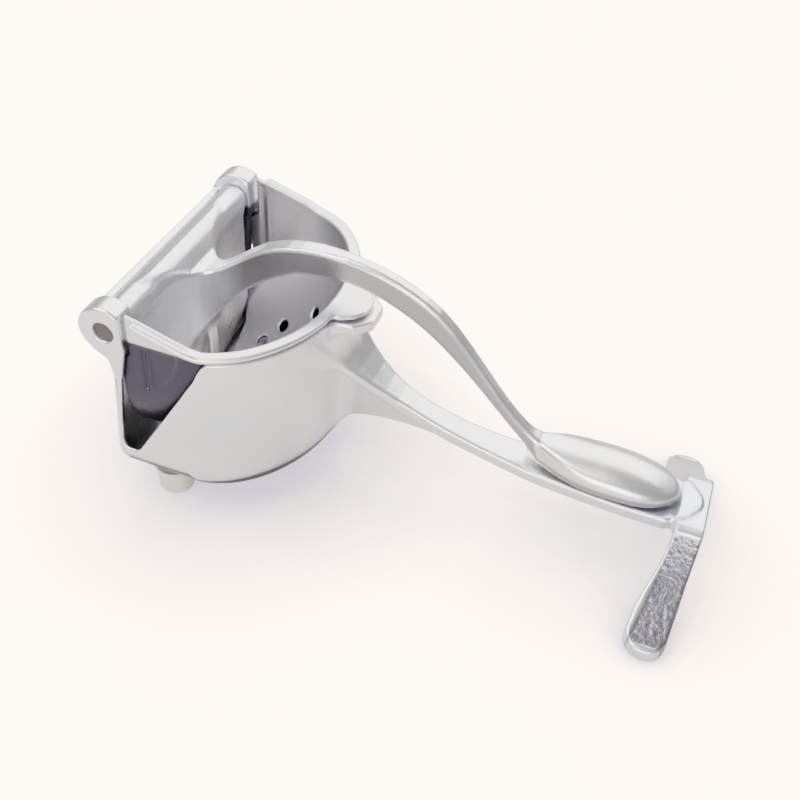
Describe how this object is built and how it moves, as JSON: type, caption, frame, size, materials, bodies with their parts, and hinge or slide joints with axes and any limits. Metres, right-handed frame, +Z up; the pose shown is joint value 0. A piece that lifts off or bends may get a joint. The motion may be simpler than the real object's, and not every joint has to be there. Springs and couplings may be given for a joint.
{
  "type": "hand fruit press",
  "caption": "Hand-held cast-aluminium fruit press: cup with spouts, drain-hole strainer basket, hinged press lever with thumb pad, and a lower handle on a forked leg.",
  "frame": {"origin": "on the table, under the middle of the press's bounding box", "axes": "+X from the pivot bosses to the thumb pad, +Y across along the pivot pin, +Z up"},
  "size_m": [0.222, 0.108, 0.0993],
  "materials": {
    "cast_satin": "satin cast, lightly polished",
    "strainer_satin": "satin cast",
    "cast_bright": "polished casting",
    "pin_steel": "dull, dark"
  },
  "bodies": {
    "base": {"base_casting": "cast_satin", "pivot_pin": "pin_steel"},
    "strainer": {"strainer_basket": "strainer_satin"},
    "lever": {"press_lever": "cast_bright"}
  },
  "joints": [
    {"name": "lever_swing", "type": "hinge", "parent": "base", "child": "lever", "pos_m": [-0.101, 0, 0.08], "axis": [0, -1, 0], "range_deg": [0, 105]},
    {"name": "strainer_tip", "type": "hinge", "parent": "base", "child": "strainer", "pos_m": [-0.101, 0, 0.08], "axis": [0, -1, 0], "range_deg": [0, 3]}
  ]
}
